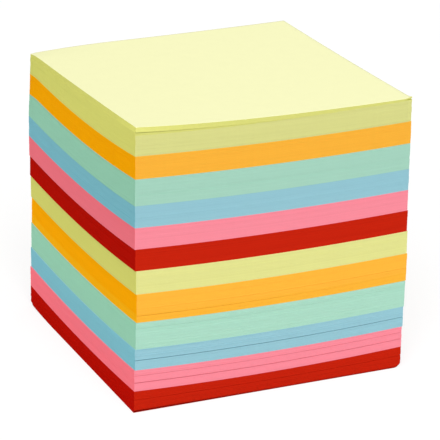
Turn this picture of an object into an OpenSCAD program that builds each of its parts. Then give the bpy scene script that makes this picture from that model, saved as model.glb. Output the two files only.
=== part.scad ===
// Memo cube: a loose, square-cut block of coloured note sheets, stacked in twelve packs.
// Millimetres, +Z up, with the origin at the middle of the underside.
// The front face is at -Y and the left face at -X, and they meet at the front corner.
// Each pack is one solid whose upper and lower faces follow the sag of its sheets.

/* [Sheets] */
// Width of a sheet, along X
sheet_width = 90; // [70:1:110]
// Depth of a sheet, along Y
sheet_depth = 90; // [70:1:110]
// Thickness of one sheet
paper_thickness = 0.1; // [0.08:0.005:0.13]

/* [Sheets in each pack of the upper set, from the top down] */
// Sheets in the upper yellow pack
upper_yellow_sheets = 69; // [50:1:100]
// Sheets in the upper orange pack
upper_orange_sheets = 70; // [50:1:100]
// Sheets in the upper mint pack
upper_mint_sheets = 82; // [50:1:100]
// Sheets in the upper blue pack
upper_blue_sheets = 68; // [50:1:100]
// Sheets in the upper pink pack
upper_pink_sheets = 67; // [50:1:100]
// Sheets in the upper red pack
upper_red_sheets = 68; // [50:1:100]

/* [Sheets in each pack of the lower set, from the top down] */
// Sheets in the lower yellow pack
lower_yellow_sheets = 74; // [50:1:100]
// Sheets in the lower orange pack
lower_orange_sheets = 90; // [50:1:100]
// Sheets in the lower mint pack
lower_mint_sheets = 86; // [50:1:100]
// Sheets in the lower blue pack
lower_blue_sheets = 67; // [50:1:100]
// Sheets in the lower pink pack
lower_pink_sheets = 68; // [50:1:100]
// Sheets in the lower red pack
lower_red_sheets = 71; // [50:1:100]

/* [Sag of the sheets between the corners] */
// Sag at the middle of the left face, near the base
left_sag_low = 1.15; // [0:0.05:2.5]
// Sag at the middle of the left face, near the top
left_sag_high = 2.1; // [0:0.05:2.5]
// Sag at the middle of the front face, near the base
front_sag_low = 1.1; // [0:0.05:2]
// Sag at the middle of the front face, near the top
front_sag_high = 0.85; // [0:0.05:2]
// Sag at the middle of the right and back faces
hidden_sag = 0.3; // [0:0.05:1.5]
// Sag of the top sheet at the middle of each face
top_sheet_sag = 0.3; // [0:0.05:1]

/* [Corners of the top sheet] */
// Rise of the front corner
front_corner_rise = 2; // [0:0.1:3]
// Drop of the left corner
left_corner_drop = 0.4; // [0:0.1:1]
// Rise of the right corner
right_corner_rise = 0.4; // [0:0.1:1.5]
// Rise of the back corner
back_corner_rise = 0.3; // [0:0.1:1.5]
// Curl of the tip of the right corner
tip_curl = 0.5; // [0:0.1:1]
// Length of the curled tip
tip_length = 3; // [2:0.5:8]

/* [Corners of the lowest sheets] */
// Lift of the left corner off the ground
left_corner_lift = 0.8; // [0:0.1:1.5]
// Reach of the lift at the left corner
left_lift_reach = 22; // [10:1:30]
// Lift of the right corner off the ground
right_corner_lift = 0.8; // [0:0.1:1.5]
// Reach of the lift at the right corner
right_lift_reach = 5; // [3:1:15]
// Lift of the front corner off the ground
front_corner_lift = 0.3; // [0:0.1:1]
// Reach of the lift at the front corner
front_lift_reach = 15; // [5:1:25]

/* [Loose stacking] */
// Shift along X of the pack that stands out most, the lower orange one
belly_shift = 0.55; // [-0.6:0.05:0.6]
// Shift along X of the packs well above it
upper_shift = -0.15; // [-0.3:0.05:0.3]
// Shift along X of the packs well below it
lower_shift = -0.1; // [-0.3:0.05:0.3]
// Number of packs over which the shift fades to those values
shift_fade = 3; // [3:1:5]
// Inset of the contact between two packs from their cut edges
edge_break = 0.4; // [0.4:0.05:1]
// Height of the break at a pack's upper and lower edge
edge_gap = 0.05; // [0.02:0.01:0.1]

/* [Lifted top sheets] */
// Number of lifted sheets at the top of the block
lifted_sheets = 13; // [5:1:25]
// Height of the gap under the lifted sheets
lift_gap = 0.35; // [0.1:0.05:0.4]
// Depth of the gap at the front corner
lift_gap_depth = 1.5; // [0.2:0.1:4]
// Share of the front face that the gap runs along
lift_gap_run = 0.6; // [0.3:0.05:0.95]
// Overhang of the lifted sheets past the front face, at the front corner
lift_overhang = 0.3; // [0:0.05:1]

/* [Parting lines, as the share of the pack that lies above the line] */
// First parting line of the lower orange pack
orange_parting_a = 0.53; // [0.3:0.01:0.55]
// Second parting line of the lower orange pack
orange_parting_b = 0.77; // [0.65:0.01:0.85]
// Parting line of the lower mint pack
mint_parting = 0.24; // [0.15:0.01:0.85]
// Parting line of the lower blue pack
blue_parting = 0.52; // [0.15:0.01:0.85]
// First parting line of the lower pink pack
pink_parting_a = 0.28; // [0.15:0.01:0.4]
// Second parting line of the lower pink pack
pink_parting_b = 0.61; // [0.5:0.01:0.85]
// Parting line of the lower red pack
red_parting = 0.37; // [0.15:0.01:0.85]
// Depth of a parting line
parting_depth = 0.35; // [0.1:0.05:1]
// Height of a parting line at the cut face
parting_gap = 0.2; // [0.1:0.05:0.4]

/* [Hidden] */

// Colours of the papers
yellow_paper = "#EDEE9C";
orange_paper = "#FCB63A";
mint_paper = "#A7DBC4";
blue_paper = "#93C6D8";
pink_paper = "#FB8CA0";
red_paper = "#C8210F";

// Packs are numbered from 0 at the bottom, and level i is the underside of pack i
pack_sheets = [lower_red_sheets, lower_pink_sheets, lower_blue_sheets,
               lower_mint_sheets, lower_orange_sheets, lower_yellow_sheets,
               upper_red_sheets, upper_pink_sheets, upper_blue_sheets,
               upper_mint_sheets, upper_orange_sheets, upper_yellow_sheets];
packs = len(pack_sheets);
top_pack = packs - 1;

// Height of level i above the ground, at the corners of the block
function level_height(i) = i == 0 ? 0 : level_height(i - 1) + pack_sheets[i - 1] * paper_thickness;
block_height = level_height(packs);

// Stations across a sheet, closer together at the corners
stations = [0, 0.03, 0.12, 0.3, 0.5, 0.7, 0.88, 0.97, 1];
cells = len(stations) - 1;
rim = 4 * cells;

// Parabola that is 0 at both ends and 1 in the middle
function bow(s) = 4 * s * (1 - s);

// A value that goes from low at the base to high at the top of the block
function graded(low, high, z) = low + (high - low) * z / block_height;

// Distance of a point from the corner of the sheet at the signs sx, sy
function to_corner(p, sx, sy) = norm([p.x - sx * sheet_width / 2, p.y - sy * sheet_depth / 2]);

// Lift of a corner, falling smoothly to 0 at its reach
function corner_lift(p, sx, sy, lift, reach) = lift * pow(max(0, 1 - to_corner(p, sx, sy) / reach), 2);

// Sag of a sheet at u along X and v along Y, from its sag at the front, left and hidden faces
function sag(u, v, front, left, hidden) =
    (front * (1 - v) + hidden * v) * bow(u) + (left * (1 - u) + hidden * u) * bow(v);

// Underside of the block: flat on the ground, with three corners lifted
function ground_form(p) =
    corner_lift(p, -1, 1, left_corner_lift, left_lift_reach)
    + corner_lift(p, 1, -1, right_corner_lift, right_lift_reach)
    + corner_lift(p, -1, -1, front_corner_lift, front_lift_reach);

// Face between two packs, at height z in the stack, from its sag at u along X and v along Y
function inner_form(u, v, z) =
    let (front = graded(front_sag_low, front_sag_high, z), left = graded(left_sag_low, left_sag_high, z))
    z - sag(u, v, front, left, hidden_sag);

// Upper face of the top sheet
function top_form(p, u, v) =
    block_height
    - sag(u, v, top_sheet_sag, top_sheet_sag, top_sheet_sag)
    + front_corner_rise * pow(1 - u, 3) * (1 - v)
    - left_corner_drop * (1 - u) * v
    + right_corner_rise * u * (1 - v)
    + back_corner_rise * u * v
    + tip_curl * max(0, 1 - to_corner(p, 1, -1) / tip_length);

// Height of level i at the point p
function sheet_height(i, p) =
    let (u = p.x / sheet_width + 0.5, v = p.y / sheet_depth + 0.5)
    i == 0 ? ground_form(p) : i == packs ? top_form(p, u, v) : inner_form(u, v, level_height(i));

// Shift of pack i along X, fading upwards and downwards from the pack that stands out most
belly_pack = 4;
function pack_shift(i) =
    let (fade = min(1, abs(i - belly_pack) / shift_fade))
    belly_shift + ((i > belly_pack ? upper_shift : lower_shift) - belly_shift) * fade;

// Shift and inset of the contact at level i, shared by the packs above and below it
function contact_shift(i) = (pack_shift(max(0, i - 1)) + pack_shift(min(top_pack, i))) / 2;
function contact_inset(i) = i == 0 || i == packs ? 0 : edge_break;

// Point of an outline at u, v, with the overhang that turns the lifted sheets at the front corner
function outline_point(u, v, shift, inset, overhang) =
    [shift + (u - 0.5) * (sheet_width - 2 * inset),
     (v - 0.5) * (sheet_depth - 2 * inset) - overhang * (1 - u) * (1 - v)];

// Station number along X and along Y of point k of the rim, anticlockwise from the front corner
function rim_x(k) = let (side = floor(k / cells), s = k % cells)
    side == 0 ? s : side == 1 ? cells : side == 2 ? cells - s : 0;
function rim_y(k) = let (side = floor(k / cells), s = k % cells)
    side == 0 ? 0 : side == 1 ? s : side == 2 ? cells : cells - s;

// Wall rings of one parting line, each as [share of the thickness, height offset, inset, notch, overhang]
function parting(share) =
    [[1 - share, -parting_gap / 2, 0, 0, 0],
     [1 - share, 0, parting_depth, 0, 0],
     [1 - share, parting_gap / 2, 0, 0, 0]];

// Wall rings of the gap under the lifted sheets and of the lifted sheets above it
lift_share = 1 - lifted_sheets / upper_yellow_sheets;
lift_rings = [[lift_share, -lift_gap / 2, 0, 0, 0],
              [lift_share, 0, 0, lift_gap_depth, 0],
              [lift_share, lift_gap / 2, 0, 0, lift_overhang]];

// Grid of points over the face of a pack at level i
function face_points(i, overhang) =
    [for (v = stations) for (u = stations)
        let (p = outline_point(u, v, contact_shift(i), contact_inset(i), overhang))
        [p.x, p.y, sheet_height(i, p)]];

// Points of one wall ring of pack i
function ring_points(i, ring) =
    [for (k = [0:rim - 1])
        let (u = stations[rim_x(k)],
             v = stations[rim_y(k)],
             p = outline_point(u, v, pack_shift(i), ring[2], ring[4]),
             notch = v == 0 ? ring[3] * max(0, 1 - u / lift_gap_run) : 0,
             low = sheet_height(i, p),
             high = sheet_height(i + 1, p))
        [p.x, p.y + notch, low + (high - low) * ring[0] + ring[1]]];

// One pack of sheets: a lower face, walls that carry the given rings, and an upper face
module pack(i, inner_rings = [], top_overhang = 0) {
    rings = concat([[0, edge_gap, 0, 0, 0]], inner_rings, [[1, -edge_gap, 0, 0, top_overhang]]);
    row = cells + 1;
    face_size = row * row;
    upper_start = face_size + len(rings) * rim;
    points = concat(face_points(i, 0),
                    [for (ring = rings) each ring_points(i, ring)],
                    face_points(i + 1, top_overhang));
    // Number of the point at place k of ring r, where the first and last ring are the rims of the faces
    function at(r, k) = let (m = k % rim, n = rim_y(m) * row + rim_x(m))
        r == 0 ? n : r > len(rings) ? upper_start + n : face_size + (r - 1) * rim + m;
    lower_face = [for (y = [0:cells - 1]) for (x = [0:cells - 1])
        let (a = y * row + x)
        each [[a, a + row + 1, a + row], [a, a + 1, a + row + 1]]];
    upper_face = [for (y = [0:cells - 1]) for (x = [0:cells - 1])
        let (a = upper_start + y * row + x)
        each [[a, a + row, a + row + 1], [a, a + row + 1, a + 1]]];
    walls = [for (r = [0:len(rings)]) for (k = [0:rim - 1])
        each [[at(r, k), at(r + 1, k), at(r + 1, k + 1)], [at(r, k), at(r + 1, k + 1), at(r, k + 1)]]];
    polyhedron(points, concat(lower_face, walls, upper_face));
}

module upper_yellow_pack() { color(yellow_paper) pack(11, lift_rings, lift_overhang); }
module upper_orange_pack() { color(orange_paper) pack(10); }
module upper_mint_pack() { color(mint_paper) pack(9); }
module upper_blue_pack() { color(blue_paper) pack(8); }
module upper_pink_pack() { color(pink_paper) pack(7); }
module upper_red_pack() { color(red_paper) pack(6); }
module lower_yellow_pack() { color(yellow_paper) pack(5); }

module lower_orange_pack() {
    color(orange_paper)
        pack(4, concat(parting(orange_parting_b), parting(orange_parting_a)));
}

module lower_mint_pack() { color(mint_paper) pack(3, parting(mint_parting)); }
module lower_blue_pack() { color(blue_paper) pack(2, parting(blue_parting)); }

module lower_pink_pack() {
    color(pink_paper)
        pack(1, concat(parting(pink_parting_b), parting(pink_parting_a)));
}

module lower_red_pack() { color(red_paper) pack(0, parting(red_parting)); }

upper_yellow_pack();
upper_orange_pack();
upper_mint_pack();
upper_blue_pack();
upper_pink_pack();
upper_red_pack();
lower_yellow_pack();
lower_orange_pack();
lower_mint_pack();
lower_blue_pack();
lower_pink_pack();
lower_red_pack();
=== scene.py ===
"""Looks of a memo cube: a loose, square-cut block of 880 coloured note sheets in twelve packs.

Each CAD pack is replaced by one closed mesh that shows its sheets one by one. Shapes are worked
out in millimetres, with +Z up and the origin at the middle of the underside, and go into the meshes
in metres. The front face is at -Y and the left face at -X. They meet at the front corner, where u
and v are 0: u runs from 0 to 1 along X and v from 0 to 1 along Y.
"""

import bpy
import numpy as np
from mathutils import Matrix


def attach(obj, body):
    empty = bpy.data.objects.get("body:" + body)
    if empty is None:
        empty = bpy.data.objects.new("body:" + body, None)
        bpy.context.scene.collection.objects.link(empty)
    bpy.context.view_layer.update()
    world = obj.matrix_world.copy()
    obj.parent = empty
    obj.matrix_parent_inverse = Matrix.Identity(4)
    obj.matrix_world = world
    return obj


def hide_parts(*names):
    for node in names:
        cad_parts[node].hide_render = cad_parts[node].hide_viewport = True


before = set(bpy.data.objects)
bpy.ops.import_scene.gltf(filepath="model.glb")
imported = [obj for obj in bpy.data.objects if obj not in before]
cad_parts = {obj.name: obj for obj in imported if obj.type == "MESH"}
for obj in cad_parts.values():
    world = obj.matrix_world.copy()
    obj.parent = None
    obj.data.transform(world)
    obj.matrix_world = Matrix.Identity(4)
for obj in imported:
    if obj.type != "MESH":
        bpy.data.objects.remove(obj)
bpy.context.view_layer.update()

# A millimetre in metres
MM = 0.001

# Seed of the loose stacking, to which each pack adds its number
SEED = 88


# Sheets and packs, with the sizes and numbers that the solids have

SHEET_WIDTH = 90.0
SHEET_DEPTH = 90.0
PAPER_THICKNESS = 0.1

# Packs from the bottom up: CAD node, paper, number of sheets, and how much paler its cuts along and
# across the grain are than the paper's usual cut. That paleness is painted light: the lower packs
# are lighter and the upper ones darker, as the light falls brighter towards the base of the block.
PACKS = [
    ("lower_red_pack", "red_paper", 71, 0.02, 0.06),
    ("lower_pink_pack", "pink_paper", 68, 0.03, 0.07),
    ("lower_blue_pack", "blue_paper", 67, 0.035, 0.06),
    ("lower_mint_pack", "mint_paper", 86, 0.06, 0.045),
    ("lower_orange_pack", "orange_paper", 90, 0.045, 0.03),
    ("lower_yellow_pack", "yellow_paper", 74, 0.065, 0.005),
    ("upper_red_pack", "red_paper", 68, -0.02, -0.06),
    ("upper_pink_pack", "pink_paper", 67, -0.03, -0.07),
    ("upper_blue_pack", "blue_paper", 68, -0.035, -0.06),
    ("upper_mint_pack", "mint_paper", 82, -0.06, -0.045),
    ("upper_orange_pack", "orange_paper", 70, -0.045, -0.03),
    ("upper_yellow_pack", "yellow_paper", 69, -0.065, -0.005),
]
LEVELS = np.cumsum([0] + [sheets for _, _, sheets, *_ in PACKS]) * PAPER_THICKNESS
BLOCK_HEIGHT = LEVELS[-1]
TOP_PACK = len(PACKS) - 1

# Sheets whose cuts differ from the rest of their pack: what they are, the first of them from below
# on the left and on the right, the one after the last, and the colours of their cuts along and
# across the grain. The deeper colour of the top pack's loose sheets at the front is painted light
# and shade: it stands in for the deep colour that light takes on between the loose sheets and in
# the shade under the lifted ones.
ODD_CUTS = {
    # The lowest sheets of the lower orange pack have a paler cut across the grain and a slightly
    # deeper one along it
    "lower_orange_pack": ("second_batch", 0, 0, 27, "#EEB038", "#F2B012"),
    # Painted light and shade: the deeper cut colours of the loose sheets under and around the
    # lifted ones
    "upper_yellow_pack": ("loose_sheets", 49, 62, 69, "#D5D57A", "#D3D371"),
}


# Unevenness of the stack, in millimetres unless its comment says otherwise

# Sag between the corners, at the base and at the top of the block
LEFT_SAG_LOW = 1.15
LEFT_SAG_HIGH = 2.1
FRONT_SAG_LOW = 1.1
FRONT_SAG_HIGH = 0.85
HIDDEN_SAG = 0.3
TOP_SHEET_SAG = 0.3

# Corners of the top sheet, and the curled tip of the right one. The rise of the front corner fades
# along the front with the power FRONT_RISE_FADE.
FRONT_CORNER_RISE = 2.0
FRONT_RISE_FADE = 3
LEFT_CORNER_DROP = 0.4
RIGHT_CORNER_RISE = 0.4
BACK_CORNER_RISE = 0.3
TIP_CURL = 0.5
TIP_LENGTH = 3.0

# Droop of the upper packs at the left corner, with its reach along X and along Y, and the depth and
# reach of the pull that draws the corner in. Both start at the level DROOP_FROM. The droop has its
# full depth within DROOP_RISE, and the pull grows up to the top sheet.
CORNER_DROOP = 1.2
DROOP_REACH_X = 30.0
DROOP_REACH_Y = 10.0
DROOP_FROM = 66.0
DROOP_RISE = 10.0
DRAWN_DEPTH = 0.6
DRAWN_REACH = 2.5

# Lifted corners of the lowest sheets: sign along X, sign along Y, lift and reach
CORNER_LIFTS = [(-1, 1, 0.8, 22.0), (1, -1, 1.0, 1.8)]

# Rounding of the lowest sheets: its height, the depth and reach of the wear at two corners, and how
# far the sheets are pushed back from the front, which fades to the back
ROUNDING_HEIGHT = 1.0
WORN_CORNERS = [(-1, 1), (1, -1)]
WORN_DEPTH = 0.8
WORN_REACH = 1.6
TUCK_DEPTH = 0.3
TUCK_REACH = 20.0

# Gap over the lowest sheet, which lies flat while the block's front corner is lifted a little: its
# height at that corner, its least height along the front, the run between the two, and its depth
BASE_GAP = 0.55
BASE_GAP_LEAST = 0.15
BASE_GAP_RUN = 50.0
BASE_GAP_DEPTH = 1.6

# Shift of the packs along X, which fades over a number of packs, up and down from the pack that
# stands out most
BELLY_PACK = 4
BELLY_SHIFT = 0.55
UPPER_SHIFT = -0.15
LOWER_SHIFT = -0.1
SHIFT_FADE = 3

# Lifted sheets at the top. The gap under them is widest and deepest at the front corner. It fades
# over a share of the front, and over the whole left side, with these powers. The sheets hang over
# the front there. Near the corner their cuts are paler, a painted highlight where their edges catch
# the light, which fades with a power as well.
LIFTED_SHEETS = 13
LIFT_GAP = 0.17
LIFT_GAP_DEPTH = 0.9
LIFT_GAP_RUN = 0.6
LIFT_GAP_FADE = 2.5
LIFT_GAP_FADE_LEFT = 4
LIFT_OVERHANG = 0.2
LIFTED_PAINTED_HIGHLIGHT = 0.13
LIFTED_PAINTED_HIGHLIGHT_FADE = 6

# Gap under the curled tip at the right corner, and the crease in the top pack where that corner was
# knocked: the mesh cells that it covers, its dent, and how much paler it is, which is a painted
# highlight where the crease catches the light
TIP_SHEETS = 5
TIP_GAP = 0.4
TIP_GAP_DEPTH = 1.2
TIP_GAP_REACH = 2.4
CREASE_CELLS = 2
CREASE_DENT = 0.25
CREASE_PAINTED_HIGHLIGHT = 0.04

# Parting lines, where the loose sheets stand apart: CAD node, share of the pack above the line, gap
# and depth at the front corner, and the share of both at the right corner
PARTINGS = [
    ("lower_orange_pack", 0.53, 0.03, 0.08, 2.5),
    ("lower_orange_pack", 0.77, 0.11, 0.35, 0.0),
    ("lower_mint_pack", 0.24, 0.045, 0.12, 0.4),
    ("lower_blue_pack", 0.52, 0.23, 0.80, 0.9),
    ("lower_pink_pack", 0.28, 0.11, 0.32, 1.2),
    ("lower_pink_pack", 0.61, 0.23, 0.80, 0.7),
    ("lower_red_pack", 0.43, 0.12, 0.35, 0.9),
]

# Share of both on the other three sides, and where in its height a gap is deepest, as a share
PARTING_ELSEWHERE = 0.2
MID_GAP = 0.5
GAP_FLOOR = 0.0

# Relief of the cut faces: each sheet's edge is a flat band between two V-shaped grooves. They take
# up GROOVE_SHARE of its thickness, with a spread and a least width counted in it, and their depth
# is GROOVE_SLOPE times half their width. Cracks are grooves that are CRACK_WIDTH times as wide.
# Their chance is CRACK_CHANCE in the top pack and CRACKS_AT_BASE times that in the lowest one.
GROOVE_SHARE = 0.3
GROOVE_SPREAD = 0.15
GROOVE_LEAST = 0.5
GROOVE_SLOPE = 1.3
CRACK_CHANCE = 0.05
CRACKS_AT_BASE = 2
CRACK_WIDTH = 2.5

# Loose stacking. Sheets are counted and cut in lifts, with at least the first and fewer than the
# second number of LIFT_SHEETS. The lifts' places and turns have a spread, the turns in radians, and
# so have the sheets' own places. A sheet's side moves by MOST_LOOSE at most, half of it by the
# turn, and EDGE_CLEARANCE keeps that inside the solid.
EDGE_CLEARANCE = 0.1
LIFT_SHEETS = (9, 26)
LIFT_SPREAD = 0.035
LIFT_TURN = 0.0004
SHEET_SPREAD = 0.01
MOST_LOOSE = 0.09

# Spread of the lifts' and of the sheets' tone, and its share at the top and across the grain
LIFT_TONE = 0.008
SHEET_TONE = 0.025
TONE_AT_TOP = 0.3
TONE_ACROSS_GRAIN = 0.4

# Mesh grid: cells along each side, how far they crowd towards the corners, and rings to a sheet
CELLS = 24
CROWD = 0.85
SHEET_RINGS = 3

# Finishes, numbered as each pack's mesh has its materials. The odd cuts' numbers are higher than
# the usual ones' by ODD_CUTS_FROM.
CUT_ALONG = 0
CUT_ACROSS = 1
FACE = 2
ODD_CUTS_FROM = 3


# Shape of the stack

def bow(s):
    """Parabola 4 s (1 - s): 0 at both ends and 1 in the middle."""
    return 4 * s * (1 - s)


def to_corner(x, y, sign_x, sign_y):
    """Distance from the corner of the sheet at the two signs."""
    return np.hypot(x - sign_x * SHEET_WIDTH / 2, y - sign_y * SHEET_DEPTH / 2)


def to_corner_at(u, v, sign_x, sign_y):
    """The same distance from a place given as u and v."""
    return to_corner((u - 0.5) * SHEET_WIDTH, (v - 0.5) * SHEET_DEPTH, sign_x, sign_y)


def sag(u, v, front, left, hidden):
    """Sum of two ruled bows: the front one changes evenly to the hidden one at the back, and the
    left one to the hidden one on the right."""
    return (front * (1 - v) + hidden * v) * bow(u) + (left * (1 - u) + hidden * u) * bow(v)


def ground_form(x, y):
    """Underside: 0, plus lift * (1 - distance / reach) squared near each lifted corner."""
    height = np.zeros_like(x)
    for sign_x, sign_y, lift, reach in CORNER_LIFTS:
        height += lift * np.maximum(0, 1 - to_corner(x, y, sign_x, sign_y) / reach) ** 2
    return height


def inner_form(u, v, level):
    """Face between two packs: its level less the sag, which changes evenly from base to top."""
    share = level / BLOCK_HEIGHT
    front = FRONT_SAG_LOW + (FRONT_SAG_HIGH - FRONT_SAG_LOW) * share
    left = LEFT_SAG_LOW + (LEFT_SAG_HIGH - LEFT_SAG_LOW) * share
    return level - sag(u, v, front, left, HIDDEN_SAG)


def top_form(x, y, u, v):
    """Top sheet: the block's height less its sag, with a share of each corner's rise or drop, and a
    tip that curls up evenly over TIP_LENGTH."""
    return (
        BLOCK_HEIGHT
        - sag(u, v, TOP_SHEET_SAG, TOP_SHEET_SAG, TOP_SHEET_SAG)
        + FRONT_CORNER_RISE * (1 - u) ** FRONT_RISE_FADE * (1 - v)
        - LEFT_CORNER_DROP * (1 - u) * v
        + RIGHT_CORNER_RISE * u * (1 - v)
        + BACK_CORNER_RISE * u * v
        + TIP_CURL * np.maximum(0, 1 - to_corner(x, y, 1, -1) / TIP_LENGTH)
    )


def droop(x, y, level):
    """Droop at the left corner: its depth at that level, times (1 - distance) squared, where the
    distance along X and along Y is counted in its reach."""
    depth = CORNER_DROOP * np.clip((level - DROOP_FROM) / DROOP_RISE, 0, 1)
    away = np.hypot((x + SHEET_WIDTH / 2) / DROOP_REACH_X, (y - SHEET_DEPTH / 2) / DROOP_REACH_Y)
    return depth * np.maximum(0, 1 - away) ** 2


def level_form(number, x, y):
    """Height of the underside of pack number, or of the top sheet, at x and y."""
    u = x / SHEET_WIDTH + 0.5
    v = y / SHEET_DEPTH + 0.5
    if number == 0:
        return ground_form(x, y)
    if number == len(PACKS):
        return top_form(x, y, u, v) - droop(x, y, BLOCK_HEIGHT)
    return inner_form(u, v, LEVELS[number]) - droop(x, y, LEVELS[number])


def pack_shift(number):
    """Shift of a pack along X: the belly's, which changes evenly to the upper or the lower one over
    SHIFT_FADE packs."""
    fade = min(1, abs(number - BELLY_PACK) / SHIFT_FADE)
    rest = UPPER_SHIFT if number > BELLY_PACK else LOWER_SHIFT
    return BELLY_SHIFT + (rest - BELLY_SHIFT) * fade


# Stations along one side: t - CROWD sin(2 pi t) / (2 pi), which crowds them towards both corners
STEPS = np.linspace(0, 1, CELLS + 1)
STATIONS = STEPS - CROWD * np.sin(2 * np.pi * STEPS) / (2 * np.pi)

# The rim of a sheet, anticlockwise from the front corner: front, right, back and left side. RIM_WAY
# is the way round it in millimetres, and ACROSS_GRAIN says which sides are cut across the grain.
RIM = 4 * CELLS
SIDE = STATIONS[:-1]
RIM_U = np.concatenate([SIDE, np.ones(CELLS), 1 - SIDE, np.zeros(CELLS)])
RIM_V = np.concatenate([np.zeros(CELLS), SIDE, np.ones(CELLS), 1 - SIDE])
RIM_WAY = np.concatenate([SIDE + turn for turn in range(4)] + [[4]]) * SHEET_WIDTH
NOWHERE = np.zeros(RIM)
ON_FRONT = RIM_V == 0
ACROSS_GRAIN = np.repeat([False, True, False, True], CELLS)


# Outline of a sheet

def worn(u, v):
    """Depth of the wear at the lowest sheets' corners: it fades evenly over WORN_REACH."""
    depth = np.zeros_like(u)
    for sign_x, sign_y in WORN_CORNERS:
        away = to_corner_at(u, v, sign_x, sign_y)
        depth += WORN_DEPTH * np.maximum(0, 1 - away / WORN_REACH)
    return depth


def tuck(v):
    """How far the lowest sheets are pushed back: it fades evenly over TUCK_REACH from the front."""
    return TUCK_DEPTH * np.maximum(0, 1 - v * SHEET_DEPTH / TUCK_REACH)


def rounding(height):
    """Share of the wear and the tuck at a height: 1 less the root of (1 - b squared), where b falls
    evenly from 1 at the underside to 0 at ROUNDING_HEIGHT."""
    below = np.maximum(0, 1 - height / ROUNDING_HEIGHT)
    return 1 - np.sqrt(1 - below ** 2)


def drawn_in(u, v, height):
    """Depth to which the drooping corner is drawn in: it fades evenly over DRAWN_REACH and grows
    evenly with the height, from DROOP_FROM to the top sheet."""
    away = to_corner_at(u, v, -1, 1)
    share = np.clip((height - DROOP_FROM) / (BLOCK_HEIGHT - DROOP_FROM), 0, 1)
    return DRAWN_DEPTH * share * np.maximum(0, 1 - away / DRAWN_REACH)


def crease():
    """Dent beside the right corner: it grows evenly over the last CREASE_CELLS of the front."""
    away = (1 - RIM_U) / (1 - STATIONS[-1 - CREASE_CELLS])
    return CREASE_DENT * np.maximum(0, 1 - away) * ON_FRONT


def outline(u, v, height, inset, shift, loose, overhang):
    """Points of a sheet's outline at a height in the stack: a rectangle, inset on all sides, worn
    and drawn in at its corners, then moved and turned as one stiff sheet, with an overhang that
    grows evenly towards the front corner and the tuck of the lowest sheets."""
    rounded = rounding(height)
    inset = EDGE_CLEARANCE + inset + rounded * worn(u, v) + drawn_in(u, v, height)
    x = (u - 0.5) * (SHEET_WIDTH - 2 * inset)
    y = (v - 0.5) * (SHEET_DEPTH - 2 * inset)
    move_x, move_y, turn = loose
    return (
        shift + move_x + x - turn * y,
        move_y + y + turn * x - overhang * (1 - u) * (1 - v) + rounded * tuck(v),
    )


def openings_of(node, sheets):
    """Openings in a pack: place in sheets from below, gap round the rim, share of the gap at which
    it is deepest, depth on all sides, and depth from the front alone.

    A parting line changes evenly along the front and has PARTING_ELSEWHERE of its size on the other
    sides. The gap under the lifted sheets fades as a power of what is left of its run along the
    front, times a power of what is left of the left side. The gap under the tip fades evenly with
    the distance from the right corner. The one over the lowest sheet falls evenly along the front
    to its least and is equally deep all along, short of the right corner."""
    found = []
    for name, share_above, gap, depth, share_at_right in PARTINGS:
        if name == node:
            along_front = 1 + (share_at_right - 1) * RIM_U
            strength = np.where(ON_FRONT, along_front, PARTING_ELSEWHERE)
            place = round(sheets * (1 - share_above))
            found.append((place, gap * strength, MID_GAP, depth * strength, NOWHERE))
    if node == "upper_yellow_pack":
        run = np.maximum(0, 1 - RIM_U / LIFT_GAP_RUN)
        taper = run ** LIFT_GAP_FADE * (1 - RIM_V) ** LIFT_GAP_FADE_LEFT
        depth = LIFT_GAP_DEPTH * taper * ON_FRONT
        found.append((sheets - LIFTED_SHEETS, LIFT_GAP * taper, MID_GAP, NOWHERE, depth))
        tip = np.maximum(0, 1 - to_corner_at(RIM_U, RIM_V, 1, -1) / TIP_GAP_REACH)
        found.append((sheets - TIP_SHEETS, TIP_GAP * tip, MID_GAP, TIP_GAP_DEPTH * tip, NOWHERE))
    if node == "lower_red_pack":
        run = np.maximum(0, 1 - RIM_U * SHEET_WIDTH / BASE_GAP_RUN)
        gap = (BASE_GAP_LEAST + (BASE_GAP - BASE_GAP_LEAST) * run) * ON_FRONT
        found.append((1, gap, GAP_FLOOR, NOWHERE, BASE_GAP_DEPTH * ON_FRONT * (RIM_U < 1)))
    return found


# Sheets and their loose stacking

def lifts_of(random, sheets, breaks):
    """Number of the lift that each sheet belongs to: runs of LIFT_SHEETS sheets, also cut at the
    breaks."""
    edges = set(breaks)
    place = 0
    while place < sheets:
        place += int(random.integers(*LIFT_SHEETS))
        edges.add(place)
    starts = np.array(sorted(edge for edge in edges if edge < sheets))
    return np.searchsorted(starts, np.arange(sheets), side="right")


def loose_places(random, lift):
    """Move along X and Y and turn of each sheet: its lift's own, plus a little of its own, within
    half of MOST_LOOSE for each."""
    spread = np.array([LIFT_SPREAD, LIFT_SPREAD, LIFT_TURN])
    of_lift = random.normal(size=(lift.max() + 1, 3)) * spread
    of_sheet = random.normal(size=(len(lift), 3)) * np.array([SHEET_SPREAD, SHEET_SPREAD, 0])
    most = MOST_LOOSE / 2 / np.array([1, 1, SHEET_WIDTH / 2])
    return np.clip(of_lift[lift] + of_sheet, -most, most)


def spread_to_rings(rows):
    """One row per sheet, spread to the rings: the sheet's own on the edges of its cut, and the mean
    of two neighbours in the groove between them."""
    padded = np.concatenate([rows[:1], rows, rows[-1:]])
    spread = np.empty((SHEET_RINGS * len(rows) + 1,) + rows.shape[1:])
    spread[0::SHEET_RINGS] = (padded[:-1] + padded[1:]) / 2
    spread[1::SHEET_RINGS] = rows
    spread[2::SHEET_RINGS] = rows
    return spread


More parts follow.
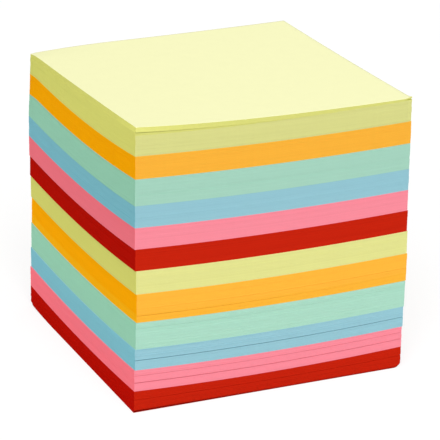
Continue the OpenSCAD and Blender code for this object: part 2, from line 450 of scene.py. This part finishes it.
def groove_widths(random, number, sheets):
    """Width of each groove as a share of the thickness: spread round GROOVE_SHARE, with a few
    cracks. The first and the last one belong to one sheet only, so they are half as wide."""
    groove = random.normal(GROOVE_SHARE, GROOVE_SPREAD * GROOVE_SHARE, sheets + 1)
    groove = np.clip(groove, GROOVE_LEAST * GROOVE_SHARE, None)
    times = CRACKS_AT_BASE - (CRACKS_AT_BASE - 1) * number / TOP_PACK
    cracked = random.random(sheets + 1) < CRACK_CHANCE * times
    groove = groove * np.where(cracked, CRACK_WIDTH, 1)
    groove[[0, -1]] = GROOVE_SHARE / 2
    return groove


def ring_shares(groove):
    """Share of the pack's thickness at which each ring lies: from sheet to sheet, half a groove,
    the flat band of the cut and half the next groove are added up."""
    steps = np.zeros(SHEET_RINGS * (len(groove) - 1) + 1)
    steps[1::SHEET_RINGS] = groove[:-1] / 2
    steps[2::SHEET_RINGS] = 1 - GROOVE_SHARE
    steps[SHEET_RINGS::SHEET_RINGS] = groove[1:] / 2
    return np.cumsum(steps) / steps.sum()


# Meshes of the packs

def wall_points(number, share, height, inset, shift, loose, overhang, openings):
    """Rings of points round a pack. Each opening cuts into the groove where it is and raises all
    that lies above it. A ring at share s of the pack lies at low + (high - low - openings) s, plus
    the openings below it, where low and high are the forms of the pack's two faces at the ring's
    own points."""
    raised = np.zeros((len(share), RIM))
    deeper = np.zeros_like(raised)
    notch = np.zeros_like(raised)
    for place, gap, deepest, depth, push in openings:
        ring = SHEET_RINGS * place
        raised[ring] += gap * deepest
        raised[ring + 1:] += gap
        deeper[ring] += depth
        notch[ring] += push
    if number == TOP_PACK:
        notch += crease()
    x, y = outline(RIM_U, RIM_V, height[:, None], inset[:, None] + deeper, shift,
                   loose.T[:, :, None], overhang[:, None])
    y = y + notch
    low = level_form(number, x, y)
    high = level_form(number + 1, x, y)
    z = low + (high - low - raised[-1]) * share[:, None] + raised
    return np.stack([x, y, z], 2).reshape(-1, 3)


def face_points(level, inset, shift, loose, overhang):
    """Points inside the face of a pack: the outline's formula at every u and v, laid on the form of
    that level."""
    u, v = (part.ravel() for part in np.meshgrid(STATIONS[1:-1], STATIONS[1:-1]))
    x, y = outline(u, v, LEVELS[level], inset, shift, loose, overhang)
    return np.stack([x, y, level_form(level, x, y)], 1)


def wall_quads(height):
    """Quads between the rings, with uv as the way round the rim and the height in the stack."""
    ring, place = np.meshgrid(np.arange(len(height) - 1), np.arange(RIM), indexing="ij")
    after = (place + 1) % RIM
    below = ring * RIM
    above = below + RIM
    quads = [below + place, below + after, above + after, above + place]
    way = [RIM_WAY[place], RIM_WAY[place + 1], RIM_WAY[place + 1], RIM_WAY[place]]
    rise = [height[ring], height[ring], height[ring + 1], height[ring + 1]]
    uv = np.stack([np.stack(way, 2), np.stack(rise, 2)], 3)
    return np.stack(quads, 2).reshape(-1, 4), uv.reshape(-1, 2)


def face_quads(rim, inside):
    """Quads of a face that looks up, from the numbers of the points on its rim and inside it."""
    front, right, back, left = rim.reshape(4, CELLS)
    grid = np.empty((CELLS + 1, CELLS + 1), int)
    grid[1:-1, 1:-1] = inside.reshape(CELLS - 1, CELLS - 1)
    grid[0, :-1] = front
    grid[:-1, -1] = right
    grid[-1, :0:-1] = back
    grid[:0:-1, 0] = left
    quads = [grid[:-1, :-1], grid[:-1, 1:], grid[1:, 1:], grid[1:, :-1]]
    return np.stack(quads, 2).reshape(-1, 4)


def wall_looks(random, number, lift, height):
    """Finish and tone of the quads between the rings. Each lift and each sheet is a little paler or
    darker, more so near the base and along the grain. Each pack's cuts are paler or darker as a
    whole, which is painted light: lighter low in the block and darker high up. The paler crease and
    the paler front corner of the lifted sheets are painted highlights, and the deeper cut of the
    top pack's loose sheets is painted light and shade."""
    node, _, sheets, painted_light_along, painted_light_across = PACKS[number]
    of_lift = random.normal(0, LIFT_TONE, lift.max() + 1)
    of_sheet = random.normal(0, SHEET_TONE, sheets)
    fade = 1 + (TONE_AT_TOP - 1) * height / BLOCK_HEIGHT
    ring_tone = spread_to_rings(of_lift[lift] + of_sheet) * fade
    quad_tone = (ring_tone[:-1] + ring_tone[1:])[:, None] / 2
    tone = quad_tone * np.where(ACROSS_GRAIN, TONE_ACROSS_GRAIN, 1)
    # Painted light: each pack's cuts are lighter low in the block and darker high up
    tone += np.where(ACROSS_GRAIN, painted_light_across, painted_light_along)
    if number == TOP_PACK:
        # Painted highlight: the crease beside the right corner is paler, where it catches the light
        tone[:, CELLS - CREASE_CELLS:CELLS] += CREASE_PAINTED_HIGHLIGHT
        # Painted highlight: the lifted sheets' cuts are paler near the front corner, where their
        # edges catch the light
        painted_highlight_near_corner = ((1 - RIM_U) * (1 - RIM_V)) ** LIFTED_PAINTED_HIGHLIGHT_FADE
        tone[SHEET_RINGS * (sheets - LIFTED_SHEETS):] += LIFTED_PAINTED_HIGHLIGHT * painted_highlight_near_corner
    finish = np.tile(np.where(ACROSS_GRAIN, CUT_ACROSS, CUT_ALONG), (len(tone), 1))
    # The top pack's loose sheets get a deeper cut: painted light and shade under the lifted sheets
    if node in ODD_CUTS:
        _, first_on_left, first_on_right, end, *_ = ODD_CUTS[node]
        sheet = np.arange(len(tone))[:, None] // SHEET_RINGS
        first = first_on_left + (first_on_right - first_on_left) * RIM_U
        finish[(sheet >= first) & (sheet < end)] += ODD_CUTS_FROM
    return finish.ravel(), tone.ravel()


def pack_surface(number):
    """One pack as points, quads, a uv pair for each corner, and the finish, smoothness and tone of
    each quad.

    Rings of points run round the pack, three to a sheet: the groove under it, and the lower and the
    upper edge of its cut. The first and the last ring are also the rims of the pack's two faces."""
    node, _, sheets, *_ = PACKS[number]
    random = np.random.default_rng(SEED + number)
    openings = openings_of(node, sheets)
    lift = lifts_of(random, sheets, [place for place, *_ in openings])
    loose = spread_to_rings(loose_places(random, lift))
    groove = groove_widths(random, number, sheets)
    share = ring_shares(groove)
    height = LEVELS[number] + share * sheets * PAPER_THICKNESS
    inset = np.zeros(len(share))
    inset[::SHEET_RINGS] = groove * PAPER_THICKNESS / 2 * GROOVE_SLOPE
    overhang = np.zeros(len(share))
    # The top sheet has no groove over it, and the lifted ones hang over the front
    if number == TOP_PACK:
        inset[-1] = 0
        overhang[SHEET_RINGS * (sheets - LIFTED_SHEETS) + 1:] = LIFT_OVERHANG

    shift = pack_shift(number)
    walls = wall_points(number, share, height, inset, shift, loose, overhang, openings)
    lower = face_points(number, inset[0], shift, loose[0], overhang[0])
    upper = face_points(number + 1, inset[-1], shift, loose[-1], overhang[-1])
    points = np.concatenate([walls, lower, upper])

    around, wall_uv = wall_quads(height)
    inside_lower, inside_upper = np.arange(len(walls), len(points)).reshape(2, -1)
    lower_rim = np.arange(RIM)
    upper_rim = lower_rim + len(walls) - RIM
    faces = np.concatenate([
        face_quads(lower_rim, inside_lower)[:, ::-1],
        face_quads(upper_rim, inside_upper),
    ])
    face_uv = points[faces.ravel(), :2]

    wall_finish, wall_tone = wall_looks(random, number, lift, height)
    finish = np.concatenate([wall_finish, np.full(len(faces), FACE)])
    tone = np.concatenate([wall_tone, np.zeros(len(faces))])
    uv = np.concatenate([wall_uv, face_uv])
    return points, np.concatenate([around, faces]), uv, finish, finish == FACE, tone


def make_mesh(name, points, quads, uv, finish, smooth, tone):
    """A mesh in metres with its uv map, finishes, smooth faces and tone."""
    mesh = bpy.data.meshes.new(name)
    mesh.from_pydata(points * MM, [], quads)
    mesh.uv_layers.new(name="paper_uv").data.foreach_set("uv", (uv * MM).ravel())
    mesh.polygons.foreach_set("material_index", finish)
    mesh.polygons.foreach_set("use_smooth", smooth)
    mesh.attributes.new("tone", "FLOAT", "FACE").data.foreach_set("value", tone)
    mesh.update()
    piece = bpy.data.objects.new(name, mesh)
    bpy.context.scene.collection.objects.link(piece)
    return piece


# Materials

def linear(hex_colour):
    """sRGB hex colour as linear red, green and blue."""
    srgb = np.array([int(hex_colour[i:i + 2], 16) for i in (1, 3, 5)]) / 255
    return tuple(np.where(srgb <= 0.04045, srgb / 12.92, ((srgb + 0.055) / 1.055) ** 2.4))


def add(tree, kind, values=None, links=None, **settings):
    """Adds a node with its settings, the constants on its sockets and the links into them."""
    node = tree.nodes.new(kind)
    for name, value in settings.items():
        setattr(node, name, value)
    for socket, value in (values or {}).items():
        node.inputs[socket].default_value = value
    for socket, source in (links or {}).items():
        tree.links.new(source, node.inputs[socket])
    return node


def new_material(name):
    """An empty material and its node tree."""
    material = bpy.data.materials.new(name)
    material.use_nodes = True
    material.node_tree.nodes.clear()
    return material, material.node_tree


# Uncoated woodfree note paper, dyed in the mass, about 80 g/m2. It scatters light almost evenly and
# has hardly any gloss. Its cut edges show fibre ends, which trap light, so they look deeper than
# the sheet.
PAPER_IOR = 1.5
FACE_ROUGHNESS = 0.85
FACE_SPECULAR = 0.2
FACE_BUMP = 0.4
CUT_ROUGHNESS = 0.9
CUT_SPECULAR = 0.01
CUT_BUMP = 0.6
ROUGHNESS_SPAN = 0.1

# Patterns: size in millimetres along and across the sheets, detail and roughness of the noise.
# Fibres are 0.02 mm wide, too fine to show, so their grain is drawn at the size of tufts.
STREAKS = (30.0, 0.25, 3.0, 0.6)
KNIFE_MARKS = (0.8, 60.0, 2.0, 0.5)
TUFTS = (0.35, 0.35, 2.0, 0.5)
CLOUDS = (4.0, 4.0, 3.0, 0.5)

# How much each pattern pales or deepens the colour, and how high the tufts stand in millimetres
STREAK_DEPTH = 0.02
KNIFE_MARK_DEPTH = 0.012
TUFT_DEPTH = 0.02
CLOUD_DEPTH = 0.015
TUFT_HEIGHT = 0.012

# Paper colours: the sheet's face, the cut along the grain at the front and back, and the cut across
# it at the left and right. The cut along the grain is paler and greyer than the one across it: that
# difference is painted sheen, the faint gloss that the front catches and the left does not.
PAPER_COLOURS = {
    "yellow_paper": ("#F0F0BB", "#D5D58B", "#D3D371"),
    "orange_paper": ("#F9B846", "#F1B23D", "#F4A902"),
    "mint_paper": ("#ACD8C4", "#A5D1BE", "#98CEB3"),
    "blue_paper": ("#99C7D4", "#93C2CE", "#7EBDCA"),
    "pink_paper": ("#FA94A3", "#F08D9C", "#F17A87"),
    "red_paper": ("#C72814", "#C3240F", "#B70E02"),
}


def pattern(tree, place, along, across, detail, roughness):
    """Noise from 0 to 1, about 0.5 on average, of a size in millimetres along the first of the
    place's coordinates and across the others."""
    scale = (1 / (along * MM), 1 / (across * MM), 1 / (across * MM))
    sized = add(tree, "ShaderNodeMapping", {"Scale": scale}, {"Vector": place})
    look = {"Scale": 1.0, "Detail": detail, "Roughness": roughness}
    noise = add(tree, "ShaderNodeTexNoise", look, {"Vector": sized.outputs["Vector"]})
    return noise.outputs["Fac"]


def matt_paper(tree, colour, tooth, roughness, specular, bump):
    """Matt shader of a colour, whose roughness and relief follow the paper's tooth."""
    rough = add(tree, "ShaderNodeMath", {1: ROUGHNESS_SPAN, 2: roughness - ROUGHNESS_SPAN / 2},
                {0: tooth}, operation="MULTIPLY_ADD")
    relief = add(tree, "ShaderNodeBump", {"Strength": bump, "Distance": TUFT_HEIGHT * MM},
                 {"Height": tooth})
    shader = add(tree, "ShaderNodeBsdfPrincipled",
                 {"IOR": PAPER_IOR, "Specular IOR Level": specular},
                 {"Base Color": colour, "Roughness": rough.outputs[0],
                  "Normal": relief.outputs["Normal"]})
    add(tree, "ShaderNodeOutputMaterial", {}, {"Surface": shader.outputs["BSDF"]})


def cut_paper(name, hex_colour):
    """Guillotined edge of a stack: streaks along the sheets, knife marks up the stack, tufts of
    fibre ends and a matt, deep colour, which each sheet's tone makes a little paler or darker. The
    tone also carries painted light: the packs' paleness low and high in the block, and the painted
    highlights on the crease and the lifted sheets."""
    material, tree = new_material(name)
    where = add(tree, "ShaderNodeUVMap", uv_map="paper_uv").outputs["UV"]
    streaks = pattern(tree, where, *STREAKS)
    marks = pattern(tree, where, *KNIFE_MARKS)
    tufts = pattern(tree, where, *TUFTS)
    tone = add(tree, "ShaderNodeAttribute", attribute_name="tone")
    # With all three patterns at their average, the colour is the one given
    deepest = 1 - STREAK_DEPTH - KNIFE_MARK_DEPTH - TUFT_DEPTH
    streaked = add(tree, "ShaderNodeMath", {1: 2 * STREAK_DEPTH, 2: deepest}, {0: streaks},
                   operation="MULTIPLY_ADD")
    marked = add(tree, "ShaderNodeMath", {1: 2 * KNIFE_MARK_DEPTH},
                 {0: marks, 2: streaked.outputs[0]}, operation="MULTIPLY_ADD")
    tufted = add(tree, "ShaderNodeMath", {1: 2 * TUFT_DEPTH},
                 {0: tufts, 2: marked.outputs[0]}, operation="MULTIPLY_ADD")
    toned = add(tree, "ShaderNodeMath", {}, {0: tufted.outputs[0], 1: tone.outputs["Fac"]},
                operation="ADD")
    colour = add(tree, "ShaderNodeVectorMath", {0: linear(hex_colour)}, {"Scale": toned.outputs[0]},
                 operation="SCALE")
    matt_paper(tree, colour.outputs[0], tufts, CUT_ROUGHNESS, CUT_SPECULAR, CUT_BUMP)
    return material


def sheet_paper(name, hex_colour):
    """Face of an uncoated sheet: faint clouds of fibre and a fine tooth."""
    material, tree = new_material(name)
    where = add(tree, "ShaderNodeTexCoord").outputs["Object"]
    clouds = pattern(tree, where, *CLOUDS)
    tooth = pattern(tree, where, *TUFTS)
    clouded = add(tree, "ShaderNodeMath", {1: 2 * CLOUD_DEPTH, 2: 1 - CLOUD_DEPTH}, {0: clouds},
                  operation="MULTIPLY_ADD")
    colour = add(tree, "ShaderNodeVectorMath", {0: linear(hex_colour)},
                 {"Scale": clouded.outputs[0]}, operation="SCALE")
    matt_paper(tree, colour.outputs[0], tooth, FACE_ROUGHNESS, FACE_SPECULAR, FACE_BUMP)
    return material


def both_cuts(name, cut_along, cut_across):
    """The two cuts of one paper, in the order of the finishes."""
    return [
        # The cut along the grain carries painted sheen, paler and greyer than the cut across it
        cut_paper(name + "_cut_along_the_grain_with_painted_sheen", cut_along),
        cut_paper(name + "_cut_across_the_grain", cut_across),
    ]


# Packs of sheets

papers = {}
for paper, (face, cut_along, cut_across) in PAPER_COLOURS.items():
    papers[paper] = both_cuts("dyed_" + paper, cut_along, cut_across)
    papers[paper].append(sheet_paper("dyed_" + paper + "_face", face))

for number, (node, paper, *_) in enumerate(PACKS):
    piece = make_mesh(node.replace("pack", "sheets"), *pack_surface(number))
    finishes = list(papers[paper])
    if node in ODD_CUTS:
        which, *_, cut_along, cut_across = ODD_CUTS[node]
        finishes += both_cuts("dyed_" + paper + "_" + which, cut_along, cut_across)
    for material in finishes:
        piece.data.materials.append(material)
    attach(piece, "root")
    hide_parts(node)


# Floor: matt white board, a hair under the block. FLOOR_WHITE is the share of it that shows as
# plain white to the rays that see it directly, so that it joins the background. The rest of it is
# lit and keeps the block's shadow.
FLOOR_SIZE = 6000.0
FLOOR_DROP = 0.02
FLOOR_COLOUR = "#F6F6F6"
FLOOR_ROUGHNESS = 1.0
FLOOR_WHITE = 0.75
WHITE = (1.0, 1.0, 1.0, 1.0)


def seen_directly(tree):
    """1 for camera, glossy and transmission rays, and 0 for all others."""
    rays = add(tree, "ShaderNodeLightPath")
    seen = add(tree, "ShaderNodeMath", {},
               {0: rays.outputs["Is Camera Ray"], 1: rays.outputs["Is Glossy Ray"]},
               operation="MAXIMUM")
    return add(tree, "ShaderNodeMath", {},
               {0: seen.outputs[0], 1: rays.outputs["Is Transmission Ray"]},
               operation="MAXIMUM").outputs[0]


def white_board():
    """Matt white board, mixed with plain white for the rays that see it directly."""
    material, tree = new_material("matt_white_board")
    board = add(tree, "ShaderNodeBsdfDiffuse",
                {"Color": (*linear(FLOOR_COLOUR), 1.0), "Roughness": FLOOR_ROUGHNESS})
    white = add(tree, "ShaderNodeEmission", {"Color": WHITE, "Strength": 1.0})
    share = add(tree, "ShaderNodeMath", {1: FLOOR_WHITE}, {0: seen_directly(tree)},
                operation="MULTIPLY")
    mixed = add(tree, "ShaderNodeMixShader", {},
                {0: share.outputs[0], 1: board.outputs[0], 2: white.outputs[0]})
    add(tree, "ShaderNodeOutputMaterial", {}, {"Surface": mixed.outputs[0]})
    return material


reach = FLOOR_SIZE / 2
floor_points = np.array([
    [-reach, -reach, -FLOOR_DROP],
    [reach, -reach, -FLOOR_DROP],
    [reach, reach, -FLOOR_DROP],
    [-reach, reach, -FLOOR_DROP],
])
floor_mesh = bpy.data.meshes.new("floor")
floor_mesh.from_pydata(floor_points * MM, [], [(0, 1, 2, 3)])
floor_mesh.materials.append(white_board())
floor = bpy.data.objects.new("floor", floor_mesh)
bpy.context.scene.collection.objects.link(floor)


# Light: an even white surround, and one large soft lamp above, in front and to the left, with its
# power in watts
SURROUND_STRENGTH = 0.75
LAMP_PLACE = (-500.0, -1300.0, 1350.0)
LAMP_AIM = (0.0, 0.0, 45.0)
LAMP_SIZE = 1400.0
LAMP_POWER = 21.0

# The surround lights the block with SURROUND_STRENGTH and looks plain white by itself
world = bpy.data.worlds.new("white_surround")
world.use_nodes = True
tree = world.node_tree
tree.nodes.clear()
strength = add(tree, "ShaderNodeMath", {1: 1 - SURROUND_STRENGTH, 2: SURROUND_STRENGTH},
               {0: seen_directly(tree)}, operation="MULTIPLY_ADD")
surround = add(tree, "ShaderNodeBackground", {"Color": WHITE}, {"Strength": strength.outputs[0]})
add(tree, "ShaderNodeOutputWorld", {}, {"Surface": surround.outputs[0]})
bpy.context.scene.world = world


def axes_towards(forward, roll=0.0):
    """Right, up and back of something that looks along forward, rolled by an angle about it."""
    forward = np.array(forward, float) / np.linalg.norm(forward)
    level = np.cross(forward, (0, 0, 1))
    level /= np.linalg.norm(level)
    rise = np.cross(level, forward)
    right = np.cos(roll) * level + np.sin(roll) * rise
    return np.stack([right, np.cross(right, forward), -forward], 1)


def place_at(thing, place, forward, roll=0.0):
    """Puts a lamp or the camera at a place in millimetres, looking along forward."""
    matrix = np.eye(4)
    matrix[:3, :3] = axes_towards(forward, roll)
    matrix[:3, 3] = np.array(place) * MM
    # Blender reads the numbers of a matrix column by column
    thing.matrix_world = matrix.T


lamp_data = bpy.data.lights.new("soft_lamp", "AREA")
lamp_data.shape = "SQUARE"
lamp_data.size = LAMP_SIZE * MM
lamp_data.energy = LAMP_POWER
lamp = bpy.data.objects.new("soft_lamp", lamp_data)
bpy.context.scene.collection.objects.link(lamp)
place_at(lamp, LAMP_PLACE, np.subtract(LAMP_AIM, LAMP_PLACE))


# Camera, fitted to the seven visible corners of the block and its twelve bands. Its lens and sensor
# are in millimetres, as Blender has them, and its angles in degrees.
CAMERA_AIM = (1.47, -2.24, 40.23)
CAMERA_DISTANCE = 768.8
CAMERA_AZIMUTH = 24.50
CAMERA_PITCH = -20.72
CAMERA_ROLL = 1.08
CAMERA_LENS = 199.7
CAMERA_SENSOR = 36.0
CAMERA_NEAR = 50.0
CAMERA_FAR = 20000.0

azimuth, pitch, roll = np.radians([CAMERA_AZIMUTH, CAMERA_PITCH, CAMERA_ROLL])
forward = np.array([
    np.sin(azimuth) * np.cos(pitch),
    np.cos(azimuth) * np.cos(pitch),
    np.sin(pitch),
])
camera_data = bpy.data.cameras.new("camera")
camera_data.lens = CAMERA_LENS
camera_data.sensor_width = CAMERA_SENSOR
camera_data.clip_start = CAMERA_NEAR * MM
camera_data.clip_end = CAMERA_FAR * MM
camera = bpy.data.objects.new("camera", camera_data)
bpy.context.scene.collection.objects.link(camera)
place_at(camera, np.array(CAMERA_AIM) - CAMERA_DISTANCE * forward, forward, roll)
bpy.context.scene.camera = camera
bpy.context.scene.view_settings.view_transform = "Standard"
